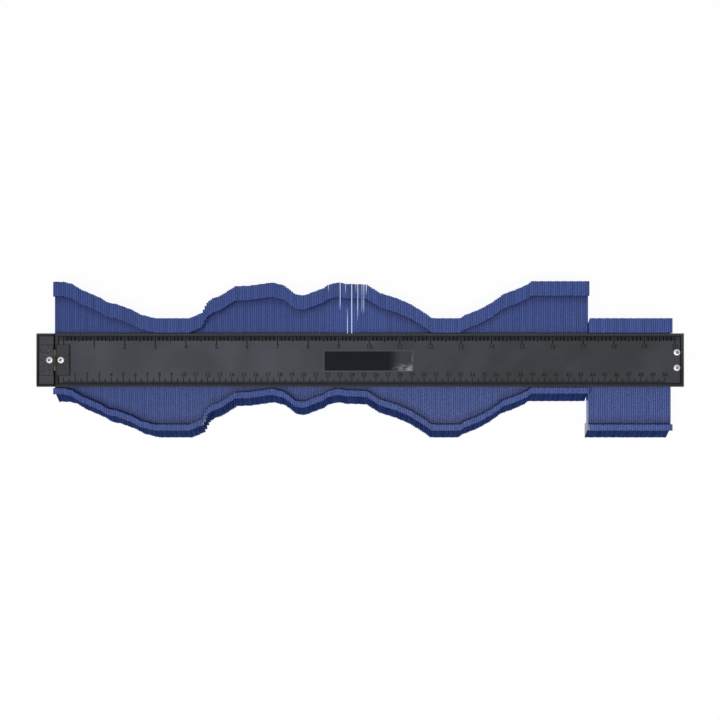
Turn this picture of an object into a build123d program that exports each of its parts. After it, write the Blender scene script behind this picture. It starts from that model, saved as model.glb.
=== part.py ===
from build123d import *
import os

# A contour gauge. A stack of thin plastic fins slides crosswise between two long plates,
# and a hinged end block shuts against the stack and holds the outline that the fins took.
# X runs along the gauge, Y along the fins, and Z from the back face up to the scale face.
# The origin is the middle of the whole outline, on the back face. Sizes are millimetres.

# Fins
fin_count = 334
fin_thickness = 1.45
fin_gap = 0.085
fin_play = 0.05
loose_gap = 0.45
fin_unevenness = 0.4
fin_length = 100.6
head_length = 12.3
head_foot = 5.3
head_depth = 18.0
shank_depth = 8.0
fins_per_pack = 8

# Frame plates and the right end wall
frame_width = 44.5
frame_thickness = 19.0
shank_clearance = 0.35
shoulder_clearance = 0.3
end_wall = 9.35
edge_round = 0.8
rim_width = 2.5
upper_rim = 1.9
field_depth = 0.5
groove_width = 1.0
groove_depth = 0.7

# Lock lever, its pad and its catch
lever_length = 14.35
lever_rim = 1.5
shank_channel = 0.6
hinge_gap = 1.3
hinge_shift = 0.6
pad_proud = 0.15
pad_seat = 1.0
pad_width = 30.0
pad_height = 6.4
pad_fit = 0.1
catch_width = 14.0
catch_thickness = 1.8
catch_reach = 3.0
catch_height = 1.8
catch_lead = 0.4
catch_fit = 0.6

# Hinge
leaf_width = 25.2
frame_leaf_reach = 11.9
lever_leaf_reach = 12.9
leaf_thickness = 1.0
leaf_fit = 0.3
frame_leaf_gap = 1.0
lever_leaf_gap = 0.3
leaf_corner = 1.0
barrel_length = 16.8
barrel_radius = 1.15
pin_radius = 0.6
pin_overhang = 0.3
hinge_fit = 0.05
knuckle_gap = 0.15
barrel_clearance = 0.3

# Friction strips
strip_width = 6.0
strip_inset = 8.25
strip_seat = 1.0
strip_proud = 0.25
strip_end_gap = 1.0
strip_fit = 0.1

# Screws
screw_head_radius = 2.8
screw_head_height = 1.3
screw_head_bevel = 0.6
screw_radius = 1.25
screw_length = 4.0
end_screw_radius = 1.5
end_screw_length = 14.0
screw_fit = 0.05
screw_tip_gap = 0.5
recess_length = 2.4
recess_width = 0.7
recess_depth = 0.8
frame_screw_reach = 5.1
lever_screw_reach = 4.35
end_screw_inset = 6.1
end_screw_offset = 6.4

# The outline that the fins hold: share of the way along the stack, and share of the
# half travel, where 1 is a fin pushed all the way up and -1 all the way down
contour = [
    (0.000, 0.97), (0.018, 0.96), (0.031, 0.85), (0.044, 0.57), (0.076, 0.11),
    (0.089, -0.16), (0.102, -0.23), (0.128, -0.55), (0.141, -0.80), (0.166, -1.00),
    (0.220, -1.00), (0.240, -0.71), (0.250, -0.10), (0.257, 0.06), (0.270, 0.21),
    (0.294, 0.72), (0.315, 0.75), (0.354, 0.93), (0.373, 0.77), (0.392, 0.28),
    (0.405, 0.23), (0.438, 0.64), (0.444, 0.81), (0.463, 0.94), (0.470, 0.86),
    (0.506, 0.82), (0.528, 0.36), (0.554, 0.09), (0.576, -0.22), (0.599, -0.69),
    (0.612, -1.00), (0.657, -1.00), (0.663, -0.85), (0.689, -0.51), (0.709, -0.14),
    (0.728, 0.32), (0.747, 0.54), (0.766, 0.82), (0.772, 1.00), (0.867, 1.00),
    (0.8671, -1.00), (1.000, -1.00),
]

# Shares of the stack at which its fins stand loose, with light between them
loose_places = [0.461, 0.476, 0.482, 0.494, 0.500]

# Places along X
fin_pitch = fin_thickness + fin_gap
loose_length = loose_gap * len(loose_places)
stack_length = fin_count * fin_pitch + fin_gap + fin_play + loose_length
overall_length = lever_length - shank_channel + pad_proud + stack_length + end_wall
left_end = -overall_length / 2
lever_face = left_end + lever_length
channel_floor = lever_face - shank_channel
stack_start = channel_floor + pad_proud
frame_left = lever_face + hinge_gap
wall_face = stack_start + stack_length
right_end = wall_face + end_wall
hinge_x = lever_face + hinge_gap / 2 + hinge_shift
end_screw_x = right_end - end_screw_inset

# Places along Z
middle = frame_thickness / 2
front_inner = middle + shank_depth / 2 + shank_clearance
rear_inner = middle - shank_depth / 2 - shank_clearance
field = frame_thickness - field_depth
leaf_floor = frame_thickness - leaf_thickness

# Places along Y and the fins' travel
half_width = frame_width / 2
strip_offset = half_width - strip_inset
shoulder = fin_length / 2 - head_length
half_travel = shoulder - half_width - shoulder_clearance
knuckle_half = barrel_length / 6
relief_half = barrel_length / 2 + pin_overhang + barrel_clearance


def block(x0, x1, y0, y1, z0, z1):
    """A box between two corners."""
    centre = Pos((x0 + x1) / 2, (y0 + y1) / 2, (z0 + z1) / 2)
    return centre * Box(x1 - x0, y1 - y0, z1 - z0)


def cross_rod(x, y0, y1, z, radius):
    """A round rod along Y."""
    return Pos(x, (y0 + y1) / 2, z) * Rot(90, 0, 0) * Cylinder(radius, y1 - y0)


def hole(x, y, z0, z1, radius):
    """A round cutter along Z."""
    return Pos(x, y, (z0 + z1) / 2) * Cylinder(radius, z1 - z0)


def end_screw_places():
    return [(end_screw_x, -end_screw_offset), (end_screw_x, end_screw_offset)]


# Fins

def slide_at(share):
    """How far a fin at this share of the stack is pushed up, in mm."""
    for (start, low), (end, high) in zip(contour, contour[1:]):
        if share <= end:
            part_way = (share - start) / (end - start)
            return half_travel * (low + (high - low) * part_way)
    return half_travel * contour[-1][1]


def fin_slide(k):
    """How far fin k is pushed up: along the outline, but never quite evenly."""
    share = (fin_left(k) + fin_thickness / 2 - stack_start) / stack_length
    uneven_share = (k * 0.754878) % 1 - 0.5
    slide = slide_at(share) + fin_unevenness * uneven_share
    return max(-half_travel, min(half_travel, slide))


def fin_slides():
    return [fin_slide(k) for k in range(fin_count)]


def fin_left(k):
    """The left face of fin k. The fins shift a little within their play, never evenly."""
    golden_share = (k * 0.618034) % 1
    loose_before = sum(1 for place in loose_places if k / fin_count >= place)
    tight = stack_start + fin_gap + k * fin_pitch
    return tight + fin_play * golden_share + loose_gap * loose_before


def fin():
    """One fin: a thin shank with a wedge-tipped head at each end, the same turned over."""
    deep = head_depth / 2
    thin = shank_depth / 2
    tip = fin_length / 2
    foot = shoulder + head_foot
    head = [(shoulder, thin), (shoulder, deep), (tip, deep), (foot, -deep)]
    upper_end = head + [(shoulder, -deep), (shoulder, -thin)]
    lower_end = [(-y, -z) for y, z in upper_end]
    profile = Plane.YZ * make_face(Polyline(*upper_end, *lower_end, close=True))
    return Pos(0, 0, middle) * extrude(profile, fin_thickness)


def pack_ranges():
    """First and last fin of each pack. No pack reaches across a step in the outline."""
    slides = fin_slides()
    steps = [k for k in range(1, fin_count) if abs(slides[k] - slides[k - 1]) > half_travel]
    runs = list(zip([0] + steps, steps + [fin_count]))
    ranges = []
    for start, end in runs:
        packs = -(-(end - start) // fins_per_pack)
        cuts = [start + (end - start) * n // packs for n in range(packs + 1)]
        ranges += [(a, b - 1) for a, b in zip(cuts, cuts[1:])]
    return ranges


def fin_pack(first, last):
    one = fin()
    slides = fin_slides()
    return Compound([Pos(fin_left(k), slides[k], 0) * one for k in range(first, last + 1)])


def pack_travel(first, last):
    """How far this pack can go down and up before a fin's shoulder meets the frame."""
    held = fin_slides()[first:last + 1]
    return -half_travel - min(held), half_travel - max(held)


# Frame

def strip_box(side, z0, z1, fit):
    """The room of a friction strip above or below the middle line."""
    centre = side * strip_offset
    reach = strip_width / 2 + fit
    ends = strip_end_gap - fit
    return block(frame_left + ends, wall_face - ends, centre - reach, centre + reach, z0, z1)


def strip(side, z_plate, towards):
    """A foam strip in its groove. It stands a little proud of the plate's inner face."""
    seat = z_plate - towards * strip_seat
    proud = z_plate + towards * strip_proud
    return strip_box(side, min(seat, proud), max(seat, proud), 0)


def barrel_relief():
    """The scoop that the hinge barrel turns in, in both the frame and the lever."""
    return cross_rod(hinge_x, -relief_half, relief_half, frame_thickness,
                     barrel_radius + barrel_clearance)


def sunken_face(x0, x1, y0, y1, right_groove):
    """The cutter for a face inside a rim, with a groove round it. Its right side may have none."""
    groove_floor = field - groove_depth
    inner_x1 = x1 - groove_width if right_groove else x1
    face = block(x0, x1, y0, y1, field, frame_thickness)
    ring = block(x0, x1, y0, y1, groove_floor, field)
    ring -= block(x0 + groove_width, inner_x1, y0 + groove_width, y1 - groove_width,
                  groove_floor, field)
    return face + ring


def front_frame():
    plate = block(frame_left, right_end, -half_width, half_width, front_inner, frame_thickness)
    plate = fillet(plate.edges().group_by(Axis.Z)[-1], edge_round)
    plate -= sunken_face(frame_left + rim_width, right_end - rim_width,
                         rim_width - half_width, half_width - upper_rim, True)
    leaf = leaf_width / 2 + leaf_fit
    plate -= block(frame_left, hinge_x + frame_leaf_reach + frame_leaf_gap, -leaf, leaf,
                   leaf_floor, frame_thickness)
    plate -= barrel_relief()
    for side in (-1, 1):
        plate -= strip_box(side, front_inner, front_inner + strip_seat, strip_fit)
    for x, y in end_screw_places():
        plate -= hole(x, y, front_inner, frame_thickness, end_screw_radius + screw_fit)
    screw_floor = leaf_floor - screw_length + leaf_thickness - screw_tip_gap
    plate -= hole(hinge_x + frame_screw_reach, 0, screw_floor, frame_thickness,
                  screw_radius + screw_fit)
    return plate


def rear_frame():
    """The back plate, the right end wall that carries the front plate, and the catch."""
    plate = block(frame_left, right_end, -half_width, half_width, 0, rear_inner)
    plate = fillet(plate.edges().group_by(Axis.Z)[0], edge_round)
    for side in (-1, 1):
        plate -= strip_box(side, rear_inner - strip_seat, rear_inner, strip_fit)
    wall = block(wall_face, right_end, -half_width, half_width, rear_inner, front_inner)
    catch = block(lever_face - catch_reach, frame_left, -catch_width / 2, catch_width / 2,
                  catch_height, catch_height + catch_thickness)
    catch = chamfer(catch.faces().sort_by(Axis.X)[0].edges().filter_by(Axis.Y), catch_lead)
    body = plate + wall + catch
    screw_floor = field - end_screw_length - screw_tip_gap
    for x, y in end_screw_places():
        body -= hole(x, y, screw_floor, front_inner, end_screw_radius + screw_fit)
    return body


# Lock lever

def lock_lever():
    """The end block. Its front face has a rim on three sides and the hinge on the fourth.
    The first fin's shank stands in a shallow channel across its inner face."""
    lever = block(left_end, lever_face, -half_width, half_width, 0, frame_thickness)
    outer = lever.edges().group_by(Axis.X)[0] + lever.edges().filter_by(Axis.X)
    lever = fillet(outer, edge_round)
    lever -= sunken_face(left_end + lever_rim, lever_face,
                         lever_rim - half_width, half_width - lever_rim, False)
    leaf = leaf_width / 2 + leaf_fit
    lever -= block(hinge_x - lever_leaf_reach - lever_leaf_gap, lever_face, -leaf, leaf,
                   leaf_floor, frame_thickness)
    lever -= barrel_relief()
    lever -= block(channel_floor, lever_face, -half_width, half_width, rear_inner, front_inner)
    lever -= block(lever_face - catch_reach - catch_fit, lever_face,
                   -catch_width / 2 - catch_fit, catch_width / 2 + catch_fit,
                   catch_height - catch_fit, catch_height + catch_thickness + catch_fit)
    reach = pad_width / 2 + pad_fit
    rise = pad_height / 2 + pad_fit
    lever -= block(channel_floor - pad_seat, channel_floor, -reach, reach,
                   middle - rise, middle + rise)
    screw_floor = leaf_floor - screw_length + leaf_thickness - screw_tip_gap
    lever -= hole(hinge_x - lever_screw_reach, 0, screw_floor, frame_thickness,
                  screw_radius + screw_fit)
    return lever


def pressure_pad():
    """The rubber pad that bears on the first fin when the lever is shut."""
    return block(channel_floor - pad_seat, stack_start, -pad_width / 2, pad_width / 2,
                 middle - pad_height / 2, middle + pad_height / 2)


# Hinge

def leaf(side, reach, screw_reach, knuckles):
    """A hinge leaf. side is 1 for the leaf on the frame and -1 for the one on the lever."""
    root = hinge_x + side * (barrel_radius + barrel_clearance)
    tip = hinge_x + side * reach
    plate = block(min(root, tip), max(root, tip), -leaf_width / 2, leaf_width / 2,
                  leaf_floor, frame_thickness)
    corners = plate.edges().filter_by(Axis.Z).sort_by(Axis.X)
    plate = fillet(corners[-2:] if side > 0 else corners[:2], leaf_corner)
    for y0, y1 in knuckles:
        plate += block(min(hinge_x, root), max(hinge_x, root), y0, y1,
                       leaf_floor, frame_thickness)
        plate += cross_rod(hinge_x, y0, y1, frame_thickness, barrel_radius)
    for y0, y1 in knuckles:
        plate -= cross_rod(hinge_x, y0, y1, frame_thickness, pin_radius + hinge_fit)
    plate -= hole(hinge_x + side * screw_reach, 0, leaf_floor, frame_thickness,
                  screw_radius + screw_fit)
    return plate


def hinge_leaf_frame():
    """The fixed leaf, with the two outer knuckles."""
    near = knuckle_half + knuckle_gap / 2
    far = barrel_length / 2
    return leaf(1, frame_leaf_reach, frame_screw_reach, [(-far, -near), (near, far)])


def hinge_leaf_lever():
    """The leaf that swings with the lever, with the middle knuckle."""
    near = knuckle_half - knuckle_gap / 2
    return leaf(-1, lever_leaf_reach, lever_screw_reach, [(-near, near)])


def hinge_pin():
    reach = barrel_length / 2 + pin_overhang
    return cross_rod(hinge_x, -reach, reach, frame_thickness, pin_radius)


# Screws

def screw(x, y, seat, radius, length):
    """A pan-head screw with a cross recess. length is measured under the head."""
    top = seat + screw_head_height
    head = hole(x, y, seat, top, screw_head_radius)
    head = chamfer(head.edges().group_by(Axis.Z)[-1], screw_head_bevel)
    floor = top - recess_depth
    half = recess_length / 2
    slot = recess_width / 2
    head -= block(x - half, x + half, y - slot, y + slot, floor, top)
    head -= block(x - slot, x + slot, y - half, y + half, floor, top)
    return head + hole(x, y, seat - length, seat, radius)


def leaf_screw():
    return screw(hinge_x + frame_screw_reach, 0, frame_thickness, screw_radius, screw_length)


def lever_screw():
    return screw(hinge_x - lever_screw_reach, 0, frame_thickness, screw_radius, screw_length)


def end_screws():
    return Compound([screw(x, y, field, end_screw_radius, end_screw_length)
                     for x, y in end_screw_places()])


def all_parts():
    """Every piece under the name of its own file."""
    parts = {
        "front_frame": front_frame(),
        "rear_frame": rear_frame(),
        "front_upper_strip": strip(1, front_inner, -1),
        "front_lower_strip": strip(-1, front_inner, -1),
        "rear_upper_strip": strip(1, rear_inner, 1),
        "rear_lower_strip": strip(-1, rear_inner, 1),
        "lock_lever": lock_lever(),
        "pressure_pad": pressure_pad(),
        "hinge_leaf_frame": hinge_leaf_frame(),
        "hinge_leaf_lever": hinge_leaf_lever(),
        "hinge_pin": hinge_pin(),
        "leaf_screw": leaf_screw(),
        "lever_screw": lever_screw(),
        "end_screws": end_screws(),
    }
    for number, (first, last) in enumerate(pack_ranges(), start=1):
        parts[f"fin_pack_{number:02d}"] = fin_pack(first, last)
    return parts


def main():
    os.makedirs("parts", exist_ok=True)
    for name, shape in all_parts().items():
        export_step(shape, f"parts/{name}.step")


if __name__ == "__main__":
    main()
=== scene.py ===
import math

import bmesh
import bpy
from mathutils import Matrix, Vector


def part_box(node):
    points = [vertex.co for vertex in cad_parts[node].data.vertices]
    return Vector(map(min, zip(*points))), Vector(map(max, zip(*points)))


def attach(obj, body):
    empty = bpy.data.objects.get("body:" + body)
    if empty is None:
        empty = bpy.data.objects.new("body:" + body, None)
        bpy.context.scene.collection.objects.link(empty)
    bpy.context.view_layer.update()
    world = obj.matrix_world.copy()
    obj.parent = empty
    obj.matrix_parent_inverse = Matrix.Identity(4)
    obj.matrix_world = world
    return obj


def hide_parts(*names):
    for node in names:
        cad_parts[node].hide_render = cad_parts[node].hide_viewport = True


# The looks of the contour gauge: fins with stepped wedge tips, the two moulded scales,
# the bare glossy label, the screws and every finish. Sizes are millimetres, unless a name
# ends in _M for metres or _PX for pixels of the photograph, and noise scales are per metre.
# X runs along the gauge, Y along the fins and Z out of the scale face.

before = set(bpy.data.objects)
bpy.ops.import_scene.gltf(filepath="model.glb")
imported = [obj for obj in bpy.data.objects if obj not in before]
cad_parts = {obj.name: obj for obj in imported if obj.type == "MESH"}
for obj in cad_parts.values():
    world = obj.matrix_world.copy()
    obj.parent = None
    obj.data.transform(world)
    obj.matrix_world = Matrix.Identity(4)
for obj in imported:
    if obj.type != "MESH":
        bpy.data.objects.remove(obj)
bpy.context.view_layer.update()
MM = 0.001


def node_box(node):
    """A node's lowest and highest corners, in millimetres."""
    low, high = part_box(node)
    return [v / MM for v in low], [v / MM for v in high]


FRAME_LOW, FRAME_HIGH = node_box("front_frame")
PIN_LOW, PIN_HIGH = node_box("hinge_pin")
FRONT = FRAME_HIGH[2]
HINGE_X = (PIN_LOW[0] + PIN_HIGH[0]) / 2
PACKS = sorted(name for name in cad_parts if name.startswith("fin_pack_"))

# The scale field on the front plate
RIM = 2.5
UPPER_RIM = 1.9
FIELD_DEPTH = 0.5
FIELD = FRONT - FIELD_DEPTH
FIELD_TOP = FRAME_HIGH[1] - UPPER_RIM
FIELD_BOTTOM = FRAME_LOW[1] + RIM

# The scales, and where each of them starts
INCH_ZERO = -246.4
CM_ZERO = -246.8
INCH = 25.4
CENTIMETRE = 10.0
INCHES = 20
CENTIMETRES = 50

# The marks' heights over the field, and how far they are sunk into it and drawn in on top
GROOVE = 1.0
MARK_HEIGHT = 0.12
INCH_MARK_HEIGHT = 0.16
BAND_HEIGHT = 0.05
SUNK = 0.02
MARK_SLOPE = 0.06

# Each mark's reach from the edge of the field and its width, by the step that it stands at
INCH_MARKS = {16: (7.2, 0.75), 8: (5.0, 1.0), 2: (4.3, 1.5), 1: (4.1, 0.5)}
MM_MARKS = {10: (5.6, 0.8), 5: (4.2, 1.0), 1: (2.4, 0.6)}

# The numbers' middles and heights, and what the font needs for a digit of that height
INCH_NUMBER_Y = 11.2
INCH_NUMBER_HEIGHT = 3.9
CM_NUMBER_Y = -12.0
CM_NUMBER_HEIGHT = 3.4
FONT_SIZE_SHARE = 1.37
FONT_WEIGHT = 0.1
FONT_STEPS = 3

# The label, and the crease that lifts its lower right corner
LABEL_LEFT = -30.5
LABEL_RIGHT = 44.5
LABEL_TOP = 8.2
LABEL_BOTTOM = -9.6
LABEL_MARGIN = 0.9
LABEL_CORNER = 1.0
LABEL_THICKNESS = 0.12
LABEL_FIRST_CUT = 1.5
LABEL_LAST_CUT = 0.5
LABEL_CELL = 1.0
LABEL_SHARP = 30
CREASE_LEFT = 31.0
CREASE_TOP = -2.0
CREASE_LIFT = 0.22
CREASE_GAIN = 1.6
CREASE_WAVES = (1.15, 0.9)

# Fins, as in the CAD packs, with the step that the packs leave out
HEAD_LENGTH = 12.3
HEAD_FOOT = 5.3
FIRST_FIN_GAP = 0.066
FIN_CLEARANCE = 0.004
SHANK_DEPTH = 8.0
STEP_SHARE = 0.44
FIN_CORNER = 0.25
FIN_ROUND = 0.28
ROUND_MIDDLE = 0.293
SAME_FACE = 0.002

# The finishes of a fin's faces, in the order of its materials, the finishes of the five
# bands of faces from its left side to its right, and which face of the outline is its tip
# The edge finish is a darker copy of the blue, painted shade on each fin's right rounding; the
# glint finish is a lighter, glossier copy, a painted highlight on its left rounding.
FLAT, TIP, PAINTED_EDGE_SHADE, PAINTED_GLINT, FLANK = range(5)
BANDS = (PAINTED_GLINT, PAINTED_GLINT, FLAT, PAINTED_EDGE_SHADE, PAINTED_EDGE_SHADE)
# The tip face takes the tip finish, a darker copy of the blue that paints the shade on the
# wedge faces.
TIP_FACE = 4

# The places where light shows between two fins: the fin after each gap, the heights
# between which it is open, and its width. Elsewhere the fins lie against each other.
GAPS = {149: (52.0, 80.0, 0.28), 155: (40.0, 80.0, 0.45), 158: (52.0, 80.0, 0.28),
        159: (10.0, 43.0, 0.35), 161: (10.0, 80.0, 0.45), 163: (55.0, 80.0, 0.28),
        164: (34.0, 80.0, 0.40), 166: (37.0, 80.0, 0.28), 167: (37.0, 80.0, 0.36),
        168: (52.0, 80.0, 0.55), 176: (52.0, 62.0, 0.25)}
GAP_TAPER = 8.0
FIN_BENDS = [8.0, 18.0, 26.0, 32.0]

# Painted shade: the shanks are darkened next to a head, where its shadow falls. The mesh keeps
# how far along the fin each point lies, where 1 is the shoulder of the head; the heads start
# just past it.
ALONG_FIN = "along_fin"
CORNER_START = 0.78
CORNER_END = 1.0
HEAD_START = 1.004
CORNER_SHADE_SHARE = 0.65
CORNER_SHADE_COLOUR = (0.0, 0.008, 0.080)

# Screws, and the cross recess that is cut into their heads
SCREW_HEAD_HEIGHT = 1.3
SCREW_EDGE = 0.45
SCREW_STEPS = 48
LEAF_SHANK_RADIUS = 1.25
END_SHANK_RADIUS = 1.5
DOME_STEPS = 8
DOME_FLAT = 0.55
DOME_ROUND = 0.45
DOME_RISE = 0.86
CROWN_RISE = 0.14
CROWN_RINGS = (0.4, 0.25, 0.1)
RECESS_LENGTH = 3.2
RECESS_WIDTH = 1.5
RECESS_DEPTH = 0.8
RECESS_TOP_SCALE = 1.1
RECESS_FLOOR_SCALE = 0.6
RECESS_REACH = 0.55
RECESS_LIP = 0.17


# Meshes

def new_object(name, mesh, material, body):
    """An object of the mesh, in its material, that rides on a body."""
    obj = bpy.data.objects.new(name, mesh)
    bpy.context.scene.collection.objects.link(obj)
    obj.data.materials.append(material)
    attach(obj, body)
    return obj


def mesh_of(name, points, faces):
    """A mesh from points in millimetres."""
    mesh = bpy.data.meshes.new(name)
    mesh.from_pydata([[v * MM for v in p] for p in points], [], faces)
    mesh.update()
    return mesh


def finished(bm, name):
    """The mesh of a bmesh whose points are in millimetres."""
    bmesh.ops.scale(bm, vec=(MM, MM, MM), verts=bm.verts)
    bmesh.ops.recalc_face_normals(bm, faces=bm.faces)
    mesh = bpy.data.meshes.new(name)
    bm.to_mesh(mesh)
    bm.free()
    return mesh


def shade_smooth(obj, angle=40):
    """Smooth shading that keeps edges sharper than the angle."""
    for face in obj.data.polygons:
        face.use_smooth = True
    bm = bmesh.new()
    bm.from_mesh(obj.data)
    for edge in bm.edges:
        if len(edge.link_faces) == 2:
            edge.smooth = edge.calc_face_angle() < math.radians(angle)
    bm.to_mesh(obj.data)
    bm.free()


# Materials

def new_node(tree, kind, sockets=None, **settings):
    """A shader node. A socket takes a number, a colour, an output or a node's first output."""
    node = tree.nodes.new(kind)
    for key, value in settings.items():
        setattr(node, key, value)
    for key, value in (sockets or {}).items():
        if isinstance(value, bpy.types.Node):
            value = value.outputs[0]
        if isinstance(value, bpy.types.NodeSocket):
            tree.links.new(value, node.inputs[key])
        elif isinstance(value, tuple):
            node.inputs[key].default_value = (*value, 1)
        else:
            node.inputs[key].default_value = value
    return node


def mixed_colour(tree, factor, first, second, blend="MIX"):
    """The output of a colour mix: the first colour at factor 0, the second at factor 1."""
    sockets = {"Factor": factor, 6: first, 7: second}
    node = new_node(tree, "ShaderNodeMix", sockets, data_type="RGBA", blend_type=blend)
    return node.outputs[2]


class Shader:
    """A node material with its Principled shader, and short calls for its nodes."""

    def __init__(self, name, colour, roughness, specular=0.5, metallic=0.0):
        self.material = bpy.data.materials.new(name)
        self.material.use_nodes = True
        self.tree = self.material.node_tree
        self.shader = self.tree.nodes["Principled BSDF"]
        self.shader.inputs["Base Color"].default_value = (*colour, 1)
        self.shader.inputs["Roughness"].default_value = roughness
        self.shader.inputs["Specular IOR Level"].default_value = specular
        self.shader.inputs["Metallic"].default_value = metallic

    def node(self, kind, sockets=None, **settings):
        return new_node(self.tree, kind, sockets, **settings)

    def set(self, name, output):
        """Link an output to one of the Principled shader's own sockets."""
        self.tree.links.new(output, self.shader.inputs[name])

    def place(self):
        return self.node("ShaderNodeTexCoord").outputs["Object"]

    def coordinate(self, axis):
        return self.node("ShaderNodeSeparateXYZ", {"Vector": self.place()}).outputs[axis]

    def stretched(self, scale):
        mapping = self.node("ShaderNodeMapping", {"Vector": self.place()})
        mapping.inputs["Scale"].default_value = scale
        return mapping.outputs["Vector"]

    def noise(self, scale, detail=3.0, vector=None):
        sockets = {"Scale": scale, "Detail": detail, "Vector": vector or self.place()}
        return self.node("ShaderNodeTexNoise", sockets).outputs["Fac"]

    def math(self, operation, a, b=0.0):
        return self.node("ShaderNodeMath", {0: a, 1: b}, operation=operation).outputs[0]

    def ramp(self, factor, low, high):
        """0 below low, 1 above high, and smooth between."""
        sockets = {"Value": factor, "From Min": low, "From Max": high}
        node = self.node("ShaderNodeMapRange", sockets, interpolation_type="SMOOTHSTEP")
        return node.outputs["Result"]

    def ramp_mm(self, factor, low, high):
        """A ramp between two places in millimetres."""
        return self.ramp(factor, low * MM, high * MM)

    def spread(self, factor, low, high):
        """The factor's 0 to 1, spread from low to high."""
        sockets = {"Value": factor, "To Min": low, "To Max": high}
        return self.node("ShaderNodeMapRange", sockets).outputs["Result"]

    def mix(self, factor, a, b, blend="MIX"):
        """Two colours, mixed by the factor or blended in the named way."""
        return mixed_colour(self.tree, factor, a, b, blend)

    def bump(self, height, distance_mm, strength=1.0):
        sockets = {"Distance": distance_mm * MM, "Strength": strength, "Height": height}
        self.set("Normal", self.node("ShaderNodeBump", sockets).outputs["Normal"])


def frame_plastic():
    """Dark grey plastic: spark-textured faces and smooth rims, with painted light and shade:
    the upper rim lighter than the lower, painted highlights on the rims' outer edges, the field
    lighter around X = -130 mm, and grooves painted near-black for their shade.
    """
    s = Shader("frame_plastic", (0.045, 0.047, 0.055), 0.55, 0.15)
    height = s.coordinate("Z")
    in_groove = s.ramp_mm(height, FIELD - 0.03, FIELD - 0.12)
    on_face = s.ramp_mm(height, FIELD + 0.12, FIELD + 0.04)
    on_front = s.ramp_mm(height, FIELD - 1.2, FIELD - 1.0)
    worn = s.noise(1.0, 4.0, s.stretched((60.0, 900.0, 900.0)))
    rim_shaded_low = s.mix(worn, (0.008, 0.008, 0.011), (0.015, 0.015, 0.018))
    rim_lit_high = s.mix(worn, (0.020, 0.022, 0.025), (0.040, 0.042, 0.044))
    # Painted light: the upper rim lighter and the lower rim darker, as the light falls on them.
    upper = s.ramp_mm(s.coordinate("Y"), -15.0, 15.0)
    # Painted highlight along the rounded outer edges of the rims.
    out = s.math("ABSOLUTE", s.coordinate("Y"))
    edge = s.ramp_mm(out, FRAME_HIGH[1] - 1.1, FRAME_HIGH[1] - 0.5)
    rim = s.mix(edge, s.mix(upper, rim_shaded_low, rim_lit_high), (0.040, 0.043, 0.053))
    blotch = s.ramp(s.noise(34.0), 0.32, 0.68)
    pale = s.mix(blotch, (0.039, 0.043, 0.052), (0.052, 0.056, 0.068))
    deep = s.mix(blotch, (0.028, 0.030, 0.036), (0.038, 0.040, 0.048))
    # Painted light: the field lighter around X = -130 mm and darker away from it, towards the
    # ends.
    from_palest = s.math("ABSOLUTE", s.math("ADD", s.coordinate("X"), 130.0 * MM))
    face = s.mix(s.ramp_mm(from_palest, 60.0, 210.0), pale, deep)
    front = s.mix(on_face, rim, face)
    # Painted shade: the grooves at the edge of the field are near-black.
    groove_shade = s.math("MULTIPLY", in_groove, on_front)
    s.set("Base Color", s.mix(groove_shade, front, (0.010, 0.010, 0.012)))
    s.set("Roughness", s.spread(s.noise(60.0), 0.5, 0.66))
    s.bump(s.noise(2600.0, 2.0), 0.03, 0.6)
    return s.material


def mark_plastic():
    """The near-black of the raised marks and numbers."""
    s = Shader("mark_plastic", (0.012, 0.012, 0.014), 0.5, 0.08)
    s.set("Base Color", s.mix(s.noise(90.0), (0.009, 0.009, 0.011), (0.016, 0.016, 0.019)))
    s.bump(s.noise(1500.0), 0.01, 0.4)
    return s.material


def inch_plastic():
    """The black of the inch marks, deeper than the numbers."""
    s = Shader("inch_plastic", (0.003, 0.003, 0.004), 0.6, 0.04)
    s.set("Base Color", s.mix(s.noise(30.0), (0.001, 0.001, 0.002), (0.006, 0.006, 0.007)))
    s.bump(s.noise(1500.0), 0.01, 0.4)
    return s.material


def band_plastic():
    """The dark smooth track that the inch marks stand on."""
    s = Shader("band_plastic", (0.024, 0.026, 0.031), 0.55, 0.1)
    s.set("Base Color", s.mix(s.noise(120.0), (0.020, 0.022, 0.026), (0.030, 0.032, 0.037)))
    s.bump(s.noise(1800.0), 0.015, 0.5)
    return s.material


def fin_shader(name, low, high, roughness, specular, relief):
    """Slate blue plastic. Each fin has its own slight tone, with faint rubs along it, and
    painted shade on its shanks next to each head.
    """
    s = Shader(name, high, roughness, specular)
    tone = s.node("ShaderNodeNewGeometry").outputs["Random Per Island"]
    rubs = s.noise(1.0, 3.0, s.stretched((2200.0, 40.0, 900.0)))
    worn = s.mix(s.ramp(rubs, 0.5, 0.8), (0.0, 0.0, 0.0), (0.016, 0.019, 0.028))
    base = s.mix(1.0, s.mix(tone, low, high), worn, "ADD")
    along = s.node("ShaderNodeAttribute", attribute_name=ALONG_FIN).outputs["Fac"]
    reach = s.math("ABSOLUTE", along)
    shank = s.math("LESS_THAN", reach, HEAD_START)
    corner = s.math("MULTIPLY", s.ramp(reach, CORNER_START, CORNER_END), shank)
    # Painted shade: the shanks darken towards the shoulder of each head.
    s.set("Base Color", s.mix(s.math("MULTIPLY", corner, CORNER_SHADE_SHARE), base, CORNER_SHADE_COLOUR))
    s.set("Roughness", s.spread(s.noise(70.0), roughness - 0.06, roughness + 0.08))
    s.bump(s.noise(1.0, 2.0, s.stretched((900.0, 120.0, 900.0))), 0.02, relief)
    return s.material


def foam():
    """Black closed-cell foam."""
    s = Shader("foam", (0.012, 0.012, 0.013), 0.95, 0.15)
    s.set("Base Color", s.mix(s.noise(1800.0), (0.007, 0.007, 0.008), (0.022, 0.022, 0.024)))
    s.bump(s.noise(2600.0, 1.0), 0.12)
    return s.material


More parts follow.
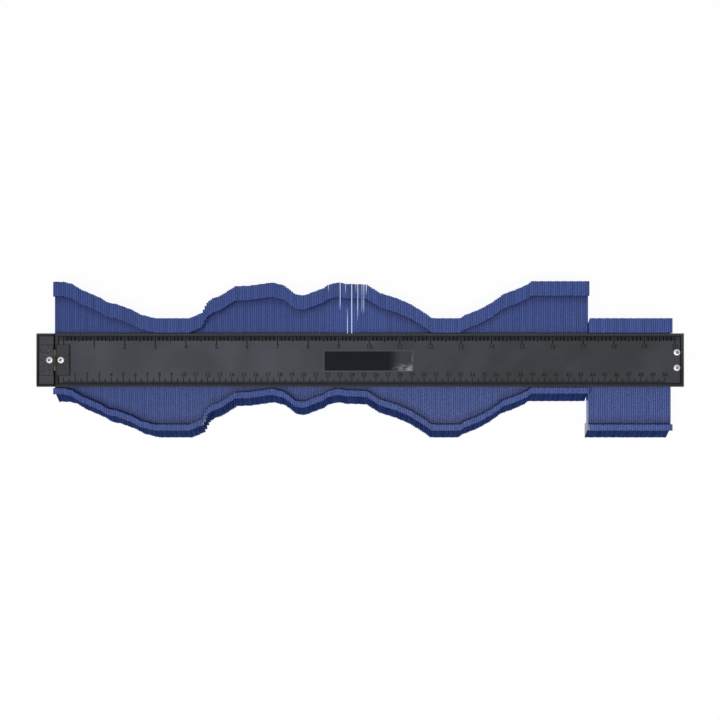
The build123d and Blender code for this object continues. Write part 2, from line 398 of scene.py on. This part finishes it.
def hinge_steel():
    """Black-painted steel, worn to dull brown metal along the barrel."""
    s = Shader("hinge_steel", (0.035, 0.035, 0.042), 0.5, 0.2)
    from_hinge = s.math("ABSOLUTE", s.math("SUBTRACT", s.coordinate("X"), HINGE_X * MM))
    barrel = s.ramp_mm(from_hinge, 1.3, 1.0)
    patches = s.ramp(s.noise(260.0, 4.0), 0.42, 0.58)
    metal = s.mix(patches, (0.075, 0.068, 0.052), (0.030, 0.028, 0.020))
    grain = s.ramp(s.noise(560.0, 2.0), 0.36, 0.64)
    lever_paint = s.mix(grain, (0.020, 0.020, 0.025), (0.040, 0.040, 0.047))
    frame_paint = s.mix(grain, (0.015, 0.015, 0.018), (0.027, 0.027, 0.032))
    side = s.ramp_mm(s.coordinate("X"), HINGE_X - 0.5, HINGE_X + 0.5)
    s.set("Base Color", s.mix(barrel, s.mix(side, lever_paint, frame_paint), metal))
    s.set("Metallic", s.math("MULTIPLY", barrel, 0.35))
    s.set("Roughness", s.spread(s.noise(200.0), 0.42, 0.6))
    s.bump(s.noise(1400.0), 0.04, 0.7)
    return s.material


def brass():
    """Dull brass of the hinge pin."""
    s = Shader("brass", (0.24, 0.19, 0.10), 0.42, 0.5, 1.0)
    s.set("Base Color", s.mix(s.noise(500.0, 4.0), (0.12, 0.09, 0.05), (0.30, 0.23, 0.12)))
    s.set("Roughness", s.spread(s.noise(300.0), 0.35, 0.6))
    return s.material


def bright_steel():
    """Bright plated steel with fine turning marks."""
    s = Shader("bright_steel", (0.52, 0.52, 0.54), 0.5, 0.5, 0.6)
    s.set("Base Color", s.mix(s.noise(700.0), (0.45, 0.45, 0.48), (0.60, 0.60, 0.62)))
    s.set("Roughness", s.spread(s.noise(900.0, 2.0), 0.3, 0.45))
    s.bump(s.noise(1.0, 2.0, s.stretched((1500.0, 1500.0, 6000.0))), 0.01, 0.4)
    return s.material


def recess_steel():
    """Darker, rougher steel on the floor and walls of a screw's recess: painted shade for the
    shade inside it.
    """
    s = Shader("recess_steel", (0.12, 0.12, 0.13), 0.5, 0.5, 1.0)
    s.set("Base Color", s.mix(s.noise(900.0), (0.10, 0.10, 0.11), (0.24, 0.24, 0.25)))
    s.set("Roughness", s.spread(s.noise(900.0, 2.0), 0.4, 0.6))
    return s.material


def label_vinyl():
    """Glossy black label, greyer towards its right end, and whitened where its corner is
    creased, a whitening that also paints the highlight of the curled film.
    """
    s = Shader("label_vinyl", (0.005, 0.006, 0.009), 0.38, 0.05)
    corner_x = s.ramp_mm(s.coordinate("X"), 24.0, 40.0)
    corner_y = s.ramp_mm(s.coordinate("Y"), -1.5, -8.0)
    corner = s.math("MULTIPLY", corner_x, corner_y)
    streaks = s.noise(1.0, 5.0, s.stretched((160.0, 420.0, 200.0)))
    # The creased corner is whitened, partly as creased film whitens and partly as a painted
    # highlight of the curled film.
    crease_whitening_and_highlight = s.math("MULTIPLY", corner, s.ramp(streaks, 0.36, 0.62))
    edge = s.ramp_mm(s.coordinate("X"), LABEL_RIGHT - 2.2, LABEL_RIGHT - 1.2)
    rub = s.math("MULTIPLY", edge, s.ramp(s.noise(170.0), 0.40, 0.6))
    pale = s.math("MAXIMUM", crease_whitening_and_highlight, s.math("MULTIPLY", rub, 0.5))
    # The black turns greyer towards the right end of the label.
    haze = s.ramp_mm(s.coordinate("X"), 23.0, 35.0)
    greyer_to_the_right = s.mix(haze, (0.005, 0.006, 0.010), (0.036, 0.042, 0.050))
    s.set("Base Color", s.mix(pale, greyer_to_the_right, (0.26, 0.27, 0.30)))
    s.set("Roughness", s.spread(pale, 0.38, 0.6))
    s.bump(s.noise(220.0), 0.03, 0.5)
    return s.material


def label_edge():
    """The clear film that shows as a narrow margin around the label."""
    s = Shader("label_edge", (0.036, 0.037, 0.041), 0.3, 0.2)
    s.set("Base Color", s.mix(s.noise(200.0), (0.030, 0.032, 0.036), (0.042, 0.044, 0.050)))
    s.bump(s.noise(260.0), 0.03, 0.5)
    return s.material


# Fins

def fin_profile(tip, deep, thin, bends):
    """One fin's outline in Y and Z about its middle: a stepped wedge at each end."""
    shoulder = tip - HEAD_LENGTH
    foot = shoulder + HEAD_FOOT
    step = 2 * deep * STEP_SHARE - deep
    c = FIN_CORNER
    upper = [(y, thin) for y in bends] + [
        (shoulder, thin), (shoulder, deep - c), (shoulder + c, deep),
        (tip - c, deep), (tip, deep - c), (foot, step),
        (foot, c - deep), (foot - c, -deep), (shoulder + c, -deep),
        (shoulder, c - deep), (shoulder, -thin),
    ] + [(y, -thin) for y in reversed(bends)]
    return upper + [(-y, -z) for y, z in upper]


def inset(outline, distance):
    """The outline drawn in by a distance, each corner along its two edges' bisector."""
    points = [Vector(p) for p in outline]
    sharpest = 0.3
    result = []
    for index, here in enumerate(points):
        before = (here - points[index - 1]).normalized()
        after = (points[(index + 1) % len(points)] - here).normalized()
        normal_before = Vector((before.y, -before.x))
        normal_after = Vector((after.y, -after.x))
        bisector = (normal_before + normal_after).normalized()
        reach = distance / max(bisector.dot(normal_before), sharpest)
        result.append(tuple(here + bisector * reach))
    return result


def fin_places(node):
    """Left face, right face and middle in Y of each fin in a pack, from its CAD mesh."""
    heights = {}
    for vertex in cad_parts[node].data.vertices:
        heights.setdefault(round(vertex.co.x / MM, 3), []).append(vertex.co.y / MM)
    faces = sorted(heights)
    places = []
    for left, right in zip(faces[::2], faces[1::2]):
        places.append((left, right, (min(heights[left]) + max(heights[left])) / 2))
    return places


def gap_width(number, y):
    """How much light there is before a fin at this height."""
    if number not in GAPS:
        return FIN_CLEARANCE
    low, high, width = GAPS[number]
    share = min(1.0, (y - low) / GAP_TAPER, (high - y) / GAP_TAPER)
    return max(FIN_CLEARANCE, width * share)


def cap_loops(bends, count):
    """A fin's side face as loops of its outline's points, split across at each bend."""
    if not bends:
        return [list(range(count))]
    half = count // 2
    loops = [[0, half - 1, half, count - 1]]
    for side in (0, half):
        for k in range(bends - 1):
            loops.append([side + k, side + k + 1, side + half - 2 - k, side + half - 1 - k])
        loops.append(list(range(side + bends - 1, side + half - bends + 1)))
    return loops


def fin_pack(node, first, before, materials):
    """The fins of one pack with rounded edges, in the places of the CAD fins.

    Each fin reaches back to the right face of the one before it, so only the loose
    places let light through. Returns the next fin's number and the last right face.
    """
    low, high = node_box(node)
    places = fin_places(node)
    ys = [v.co.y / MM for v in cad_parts[node].data.vertices
          if abs(v.co.x / MM - places[0][0]) < SAME_FACE]
    tip = (max(ys) - min(ys)) / 2
    shoulder = tip - HEAD_LENGTH
    middle = (low[2] + high[2]) / 2
    bends = FIN_BENDS if any(first + i in GAPS for i in range(len(places))) else []
    outline = fin_profile(tip, (high[2] - low[2]) / 2, SHANK_DEPTH / 2, bends)
    rounds = [(0.0, inset(outline, FIN_ROUND)),
              (FIN_ROUND * ROUND_MIDDLE, inset(outline, FIN_ROUND * ROUND_MIDDLE)),
              (FIN_ROUND, outline)]
    count = len(outline)
    # The wedge faces of the tips, which take the darker blue of painted shade
    tips = {len(bends) + TIP_FACE, count // 2 + len(bends) + TIP_FACE}
    points = []
    faces = []
    kinds = []
    reaches = []
    for number, (left, right, centre) in enumerate(places, start=first):
        if before is None:
            before = left - FIRST_FIN_GAP
        start = len(points)
        last = start + len(BANDS) * count
        for x, ring in rounds:
            for y, z in ring:
                points.append((before + gap_width(number, centre + y) + x,
                               centre + y, middle + z))
        for x, ring in reversed(rounds):
            points += [(right - x, centre + y, middle + z) for y, z in ring]
        reaches += [(y - centre) / shoulder for x, y, z in points[start:]]
        for band, kind in enumerate(BANDS):
            for i in range(count):
                a = start + band * count + i
                b = start + band * count + (i + 1) % count
                faces.append((a, b, b + count, a + count))
                kinds.append(TIP if i in tips else kind)
        for loop in cap_loops(len(bends), count):
            faces.append(tuple(start + i for i in reversed(loop)))
            faces.append(tuple(last + i for i in loop))
            kinds += [FLANK, FLANK]
        before = right
    mesh = mesh_of(node + "_detail", points, faces)
    along = mesh.attributes.new(ALONG_FIN, "FLOAT", "POINT")
    along.data.foreach_set("value", reaches)
    obj = new_object(node + "_detail", mesh, materials[0], node)
    for material in materials[1:]:
        mesh.materials.append(material)
    for face, kind in zip(mesh.polygons, kinds):
        face.material_index = kind
    shade_smooth(obj)
    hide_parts(node)
    return first + len(places), before


# Scales

def bar(bm, x0, x1, y0, y1, z0, z1):
    """A bar whose top is a little narrower than its foot, as a moulded mark is."""
    slope = min(MARK_SLOPE, (x1 - x0) / 5, (y1 - y0) / 5)
    foot = [(x0, y0), (x1, y0), (x1, y1), (x0, y1)]
    top = [(x0 + slope, y0 + slope), (x1 - slope, y0 + slope),
           (x1 - slope, y1 - slope), (x0 + slope, y1 - slope)]
    lower = [bm.verts.new((x, y, z0)) for x, y in foot]
    upper = [bm.verts.new((x, y, z1)) for x, y in top]
    bm.faces.new(lower[::-1])
    bm.faces.new(upper)
    for i in range(4):
        j = (i + 1) % 4
        bm.faces.new((lower[i], lower[j], upper[j], upper[i]))


def on_field(bm, name, material):
    """The finished bmesh as an object that rides on the frame."""
    return new_object(name, finished(bm, name), material, "frame")


def mark_size(marks, count):
    """Reach and width of a mark: those of the longest step that divides its number."""
    return marks[max(step for step in marks if count % step == 0)]


def inch_marks(material):
    """The upper scale, in sixteenths of an inch."""
    bm = bmesh.new()
    for n in range(INCHES * 16 + 1):
        x = INCH_ZERO + n * INCH / 16
        reach, width = mark_size(INCH_MARKS, n)
        bar(bm, x - width / 2, x + width / 2, FIELD_TOP - reach, FIELD_TOP - GROOVE,
            FIELD - SUNK, FIELD + INCH_MARK_HEIGHT)
    return on_field(bm, "inch_marks", material)


def inch_band(material):
    """The dark track under the shortest inch marks."""
    bm = bmesh.new()
    bar(bm, FRAME_LOW[0] + RIM + GROOVE, FRAME_HIGH[0] - RIM - GROOVE,
        FIELD_TOP - INCH_MARKS[1][0], FIELD_TOP - GROOVE, FIELD - SUNK, FIELD + BAND_HEIGHT)
    return on_field(bm, "inch_band", material)


def cm_marks(material):
    """The lower scale, in millimetres."""
    bm = bmesh.new()
    for n in range(CENTIMETRES * 10 + 1):
        x = CM_ZERO + n
        reach, width = mark_size(MM_MARKS, n)
        bar(bm, x - width / 2, x + width / 2, FIELD_BOTTOM + GROOVE, FIELD_BOTTOM + reach,
            FIELD - SUNK, FIELD + MARK_HEIGHT)
    return on_field(bm, "cm_marks", material)


def number_mesh(text, height):
    """A raised number as a mesh in millimetres, centred on its own middle."""
    curve = bpy.data.curves.new("number", "FONT")
    curve.body = text
    curve.size = height * FONT_SIZE_SHARE
    curve.extrude = MARK_HEIGHT / 2 + SUNK / 2
    curve.offset = FONT_WEIGHT
    curve.resolution_u = FONT_STEPS
    curve.align_x = "CENTER"
    curve.align_y = "CENTER"
    obj = bpy.data.objects.new("number", curve)
    bpy.context.scene.collection.objects.link(obj)
    graph = bpy.context.evaluated_depsgraph_get()
    mesh = bpy.data.meshes.new_from_object(obj.evaluated_get(graph))
    bpy.data.objects.remove(obj)
    bpy.data.curves.remove(curve)
    return mesh


def numbers(name, zero, count, pitch, y, height, material):
    """The numbers from 1 to count, one over each long mark."""
    bm = bmesh.new()
    for n in range(1, count + 1):
        mesh = number_mesh(str(n), height)
        ys = [v.co.y for v in mesh.vertices]
        middle = (min(ys) + max(ys)) / 2
        place = Vector((zero + n * pitch, y, FIELD + MARK_HEIGHT / 2))
        for vertex in mesh.vertices:
            vertex.co = Vector((vertex.co.x, vertex.co.y - middle, vertex.co.z)) + place
        bm.from_mesh(mesh)
        bpy.data.meshes.remove(mesh)
    return on_field(bm, name, material)


# Label

def rounded_rectangle(x0, x1, y0, y1, radius, steps=5):
    """The outline of a rectangle with round corners, going round from the lower right."""
    corners = ((x1 - radius, y0 + radius, -90), (x1 - radius, y1 - radius, 0),
               (x0 + radius, y1 - radius, 90), (x0 + radius, y0 + radius, 180))
    outline = []
    for cx, cy, start in corners:
        for i in range(steps + 1):
            angle = math.radians(start + 90 * i / steps)
            outline.append((cx + radius * math.cos(angle), cy + radius * math.sin(angle)))
    return outline


def label_lift(x, y):
    """How far the label stands up at its creased lower right corner."""
    across = max(0.0, (x - CREASE_LEFT) / (LABEL_RIGHT - CREASE_LEFT))
    down = max(0.0, (CREASE_TOP - y) / (CREASE_TOP - LABEL_BOTTOM))
    fold = 0.5 + 0.5 * math.sin(x * CREASE_WAVES[0] + y * CREASE_WAVES[1])
    return CREASE_LIFT * min(1.0, across * CREASE_GAIN) * min(1.0, down * CREASE_GAIN) * fold


def label_sheet(name, x0, x1, y0, y1, radius, z0, z1, material):
    """A thin sheet with round corners, gently buckled where the label has creased."""
    bm = bmesh.new()
    outline = rounded_rectangle(x0, x1, y0, y1, radius)
    bm.faces.new([bm.verts.new((x, y, z1)) for x, y in outline])
    for normal, low, high in ((Vector((1, 0, 0)), x0, x1), (Vector((0, 1, 0)), y0, y1)):
        spot = low + LABEL_FIRST_CUT
        while spot < high - LABEL_LAST_CUT:
            geometry = bm.verts[:] + bm.edges[:] + bm.faces[:]
            bmesh.ops.bisect_plane(bm, geom=geometry, plane_co=normal * spot, plane_no=normal)
            spot += LABEL_CELL
    for vertex in bm.verts:
        vertex.co.z += label_lift(vertex.co.x, vertex.co.y)
    skirt = bmesh.ops.extrude_edge_only(bm, edges=[e for e in bm.edges if e.is_boundary])
    for vertex in skirt["geom"]:
        if isinstance(vertex, bmesh.types.BMVert):
            vertex.co.z = z0
    bmesh.ops.holes_fill(bm, edges=[e for e in bm.edges if e.is_boundary])
    shade_smooth(on_field(bm, name, material), LABEL_SHARP)


def label(film, vinyl):
    """The label on its clear film, whose margin shows all round it."""
    m = LABEL_MARGIN
    label_sheet("label_film", LABEL_LEFT, LABEL_RIGHT, LABEL_BOTTOM, LABEL_TOP,
                LABEL_CORNER, FIELD - SUNK, FIELD + LABEL_THICKNESS / 2, film)
    label_sheet("label", LABEL_LEFT + m, LABEL_RIGHT - m, LABEL_BOTTOM + m, LABEL_TOP - m,
                LABEL_CORNER / 2, FIELD, FIELD + LABEL_THICKNESS, vinyl)


# Screws

def screw_solid(x, y, seat, radius, shank_radius, bottom):
    """A pan-head screw as a lathe-turned solid, still without its recess."""
    top = seat + SCREW_HEAD_HEIGHT
    dome = top - seat - SCREW_EDGE
    profile = [(0.0, bottom), (shank_radius, bottom), (shank_radius, seat), (radius, seat),
               (radius, seat + SCREW_EDGE)]
    for i in range(1, DOME_STEPS):
        angle = math.radians(90 * i / DOME_STEPS)
        profile.append((radius * (DOME_FLAT + DOME_ROUND * math.cos(angle)),
                        seat + SCREW_EDGE + dome * DOME_RISE * math.sin(angle)))
    for share in CROWN_RINGS:
        profile.append((radius * share, top - dome * CROWN_RISE * (share / DOME_FLAT) ** 2))
    profile.append((0.0, top))
    bm = bmesh.new()
    ring = [bm.verts.new((r, 0.0, z)) for r, z in profile]
    edges = [bm.edges.new(pair) for pair in zip(ring, ring[1:])]
    bmesh.ops.spin(bm, geom=ring + edges, cent=(0, 0, 0), axis=(0, 0, 1),
                   angle=math.tau, steps=SCREW_STEPS, use_merge=True)
    bmesh.ops.remove_doubles(bm, verts=bm.verts, dist=0.0005)
    bmesh.ops.translate(bm, verts=bm.verts, vec=(x, y, 0))
    return finished(bm, "screw")


def cross_cutter(x, y, top, turn):
    """The tapered cross that is cut out of a screw's head."""
    bm = bmesh.new()
    a = RECESS_WIDTH / 2
    b = RECESS_LENGTH / 2
    cross = [(a, a), (a, b), (-a, b), (-a, a), (-b, a), (-b, -a),
             (-a, -a), (-a, -b), (a, -b), (a, -a), (b, -a), (b, a)]
    over = top + 0.5
    under = top - RECESS_DEPTH
    upper = [bm.verts.new((p * RECESS_TOP_SCALE, q * RECESS_TOP_SCALE, over)) for p, q in cross]
    lower = [bm.verts.new((p * RECESS_FLOOR_SCALE, q * RECESS_FLOOR_SCALE, under))
             for p, q in cross]
    bm.faces.new(upper)
    bm.faces.new(lower[::-1])
    for i in range(len(cross)):
        j = (i + 1) % len(cross)
        bm.faces.new((upper[j], upper[i], lower[i], lower[j]))
    spun = Matrix.Rotation(math.radians(turn), 4, "Z")
    bmesh.ops.transform(bm, matrix=spun, verts=bm.verts)
    bmesh.ops.translate(bm, verts=bm.verts, vec=(x, y, 0))
    return finished(bm, "cross")


def cut(mesh, cutter):
    """The mesh with the cutter's mesh taken out of it."""
    scene = bpy.context.scene.collection
    body = bpy.data.objects.new("cut_body", mesh)
    tool = bpy.data.objects.new("cut_tool", cutter)
    scene.objects.link(body)
    scene.objects.link(tool)
    modifier = body.modifiers.new("cut", "BOOLEAN")
    modifier.object = tool
    modifier.operation = "DIFFERENCE"
    modifier.solver = "EXACT"
    graph = bpy.context.evaluated_depsgraph_get()
    result = bpy.data.meshes.new_from_object(body.evaluated_get(graph))
    bpy.data.objects.remove(body)
    bpy.data.objects.remove(tool)
    return result


def screws(node, body, turns, shank_radius, material, recess_shade_material):
    """Detailed screws in the places of the CAD ones, each with its recess turned its way and
    painted shade inside it.
    """
    low, high = node_box(node)
    radius = (high[0] - low[0]) / 2
    x = (high[0] + low[0]) / 2
    seat = high[2] - SCREW_HEAD_HEIGHT
    middles = sorted({low[1] + radius, high[1] - radius})
    bm = bmesh.new()
    for y, turn in zip(middles, turns):
        solid = screw_solid(x, y, seat, radius, shank_radius, low[2])
        bm.from_mesh(cut(solid, cross_cutter(x, y, high[2], turn)))
    mesh = bpy.data.meshes.new(node + "_detail")
    bm.to_mesh(mesh)
    bm.free()
    obj = new_object(node + "_detail", mesh, material, body)
    # Painted shade: the faces inside each recess take the darker steel.
    mesh.materials.append(recess_shade_material)
    for face in mesh.polygons:
        away = min(math.hypot(face.center.x / MM - x, face.center.y / MM - y) for y in middles)
        below = high[2] - face.center.z / MM
        if away < RECESS_LENGTH * RECESS_REACH and RECESS_LIP < below < SCREW_HEAD_HEIGHT:
            face.material_index = 1
    shade_smooth(obj)
    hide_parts(node)


def dress(node, material):
    """A CAD node whose shape stays, in a better material."""
    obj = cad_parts[node]
    obj.data.materials.clear()
    obj.data.materials.append(material)


# The part

# A fin's finishes: name, darkest and lightest colour, roughness, gloss and relief
FIN_FINISHES = (
    ("fin_plastic", (0.011, 0.033, 0.175), (0.022, 0.054, 0.256), 0.3, 0.23, 0.05),
    # Painted shade: a darker, matte blue on the wedge faces of the tips
    ("fin_tip_shade_plastic", (0.009, 0.024, 0.112), (0.024, 0.050, 0.192), 0.8, 0.05, 0.1),
    # Painted shade: a much darker blue on the right rounding of each fin
    ("fin_edge_shade_plastic", (0.002, 0.006, 0.035), (0.004, 0.010, 0.050), 0.5, 0.1, 0.1),
    # Painted highlight: a lighter, glossier blue on the left rounding of each fin
    ("fin_glint_plastic", (0.060, 0.105, 0.330), (0.085, 0.135, 0.380), 0.35, 0.5, 0.1),
    ("fin_flank_plastic", (0.034, 0.060, 0.210), (0.046, 0.078, 0.262), 0.16, 0.8, 0.1),
)

plastic = frame_plastic()
marks = mark_plastic()
blue = [fin_shader(*finish) for finish in FIN_FINISHES]
soft = foam()
hinge = hinge_steel()
steel = bright_steel()
recess = recess_steel()

for name in ("front_frame", "rear_frame", "lock_lever"):
    dress(name, plastic)
for name in ("front_upper_strip", "front_lower_strip", "rear_upper_strip",
             "rear_lower_strip", "pressure_pad"):
    dress(name, soft)
for name in ("hinge_leaf_frame", "hinge_leaf_lever"):
    dress(name, hinge)
dress("hinge_pin", brass())
fin_number = 0
fin_end = None
for name in PACKS:
    fin_number, fin_end = fin_pack(name, fin_number, fin_end, blue)
inch_band(band_plastic())
inch_marks(inch_plastic())
cm_marks(marks)
numbers("inch_numbers", INCH_ZERO, INCHES, INCH, INCH_NUMBER_Y, INCH_NUMBER_HEIGHT, marks)
numbers("cm_numbers", CM_ZERO, CENTIMETRES, CENTIMETRE, CM_NUMBER_Y, CM_NUMBER_HEIGHT, marks)
label(label_edge(), label_vinyl())
screws("leaf_screw", "frame", (20,), LEAF_SHANK_RADIUS, steel, recess)
screws("lever_screw", "lock", (55,), LEAF_SHANK_RADIUS, steel, recess)
screws("end_screws", "frame", (35, 5), END_SHANK_RADIUS, steel, recess)


# Floor and light

WHITE = (1.0, 1.0, 1.0)
SEEN_RAYS = ("Is Camera Ray", "Is Glossy Ray", "Is Transmission Ray")

# The floor: its share of even glow, what the object's shade falls on, and what it gives back
FLOOR_SIZE_M = 6.0
FLOOR_DROP_M = 0.00005
FLOOR_GLOW = 0.93
FLOOR_SHADED = (0.98, 0.98, 0.98)
FLOOR_BOUNCE = (0.2, 0.2, 0.2)

# The painted blue bounce that the camera sees on the floor between two fins, for the light that
# blue plastic throws there: a floor point lies in such a slot if most of its sky is covered
# within this reach
SLOT_PAINTED_BOUNCE = (0.98, 1.12, 1.55)
SLOT_REACH = 50.0
SLOT_SKY = (0.36, 0.22)
SLOT_SAMPLES = 6

AMBIENT = 0.32
GLOSS_SURROUND = 0.8
KEY_FROM = (-0.22, -0.12, 1.0)
KEY_SPREAD = 75.0
KEY_STRENGTH = 1.15
FILL_PLACE = (0.0, -200.0, 850.0)
FILL_SIZE = (1500.0, 220.0)
FILL_WATTS = 4.2


def ray_factor(tree, rays):
    """1 for the named kinds of ray, and 0 for the others."""
    path = new_node(tree, "ShaderNodeLightPath")
    total = path.outputs[rays[0]]
    for ray in rays[1:]:
        sockets = {0: total, 1: path.outputs[ray]}
        total = new_node(tree, "ShaderNodeMath", sockets, operation="MAXIMUM").outputs[0]
    return total


def mixed(tree, factor, first, second):
    """A shader between two others: the first at factor 0, the second at factor 1."""
    return new_node(tree, "ShaderNodeMixShader", {0: factor, 1: first, 2: second})


def white_floor():
    """A floor that the camera sees white, with what shade the object throws on it, and a
    painted blue bounce between the fins.
    """
    bpy.ops.mesh.primitive_plane_add(size=FLOOR_SIZE_M, location=(0, 0, -FLOOR_DROP_M))
    floor = bpy.context.object
    floor.name = "floor"
    material = bpy.data.materials.new("floor")
    material.use_nodes = True
    tree = material.node_tree
    tree.nodes.clear()
    # Painted light: the floor in the slots between fins glows blue, for the light that the blue
    # plastic throws there.
    sky = new_node(tree, "ShaderNodeAmbientOcclusion", {"Distance": SLOT_REACH * MM},
                   samples=SLOT_SAMPLES).outputs["AO"]
    in_slot = new_node(tree, "ShaderNodeMapRange",
                       {"Value": sky, "From Min": SLOT_SKY[0], "From Max": SLOT_SKY[1]})
    glow_with_painted_bounce = mixed_colour(tree, in_slot, WHITE, SLOT_PAINTED_BOUNCE)
    glow = new_node(tree, "ShaderNodeEmission", {"Color": glow_with_painted_bounce, "Strength": 1.0})
    shaded = new_node(tree, "ShaderNodeBsdfDiffuse", {"Color": FLOOR_SHADED})
    bounce = new_node(tree, "ShaderNodeBsdfDiffuse", {"Color": FLOOR_BOUNCE})
    surface = mixed(tree, ray_factor(tree, SEEN_RAYS), bounce,
                    mixed(tree, FLOOR_GLOW, shaded, glow))
    new_node(tree, "ShaderNodeOutputMaterial", {"Surface": surface})
    floor.data.materials.append(material)


def studio_world():
    """A white surround for the camera and for gloss, and a low even light for the rest."""
    world = bpy.data.worlds.new("world")
    bpy.context.scene.world = world
    world.use_nodes = True
    tree = world.node_tree
    tree.nodes.clear()
    camera_ray = ray_factor(tree, ("Is Camera Ray",))
    strength = new_node(tree, "ShaderNodeMath",
                        {0: camera_ray, 1: 1.0 - GLOSS_SURROUND, 2: GLOSS_SURROUND},
                        operation="MULTIPLY_ADD")
    low = new_node(tree, "ShaderNodeBackground", {"Color": WHITE, "Strength": AMBIENT})
    white = new_node(tree, "ShaderNodeBackground", {"Color": WHITE, "Strength": strength})
    surface = mixed(tree, ray_factor(tree, SEEN_RAYS), low, white)
    new_node(tree, "ShaderNodeOutputWorld", {"Surface": surface})


def new_lamp(name, kind, energy):
    """A lamp in the scene, and its data for the settings that its kind has."""
    data = bpy.data.lights.new(name, kind)
    data.energy = energy
    lamp = bpy.data.objects.new(name, data)
    bpy.context.scene.collection.objects.link(lamp)
    return lamp, data


def softbox():
    """A wide soft lamp over the object, facing straight down."""
    lamp, data = new_lamp("fill", "AREA", FILL_WATTS)
    data.shape = "RECTANGLE"
    data.size, data.size_y = (v * MM for v in FILL_SIZE)
    lamp.location = [v * MM for v in FILL_PLACE]
    lamp.visible_camera = False


def sun():
    """A soft sun that shines from a direction, as a large softbox far away does."""
    lamp, data = new_lamp("key", "SUN", KEY_STRENGTH)
    data.angle = math.radians(KEY_SPREAD)
    lamp.rotation_euler = (-Vector(KEY_FROM)).to_track_quat("-Z", "Y").to_euler()


white_floor()
studio_world()
sun()
softbox()


# The camera looks straight down. The photograph's own numbers set its place: its foot is
# at pixel 350, the scale face is 1.204 pixels to the millimetre, and it stood 840 mm above it.
PHOTO_WIDTH_PX = 720
PHOTO_MIDDLE_PX = PHOTO_WIDTH_PX / 2
CAMERA_FOOT_PX = 350.0
ORIGIN_PX = (360.15, 360.1)
SCALE_PX = 1.204
CAMERA_HEIGHT = 840.0
SENSOR = 36.0
CLIP_START_M = 0.01

camera_data = bpy.data.cameras.new("camera")
camera_data.sensor_width = SENSOR
camera_data.lens = SENSOR * CAMERA_HEIGHT * SCALE_PX / PHOTO_WIDTH_PX
camera_data.shift_x = (PHOTO_MIDDLE_PX - CAMERA_FOOT_PX) / PHOTO_WIDTH_PX
camera_data.clip_start = CLIP_START_M
camera = bpy.data.objects.new("camera", camera_data)
camera.location = ((CAMERA_FOOT_PX - ORIGIN_PX[0]) / SCALE_PX * MM,
                   (ORIGIN_PX[1] - PHOTO_MIDDLE_PX) / SCALE_PX * MM,
                   (FRONT + CAMERA_HEIGHT) * MM)
bpy.context.scene.collection.objects.link(camera)
bpy.context.scene.camera = camera
bpy.context.scene.view_settings.view_transform = "Standard"
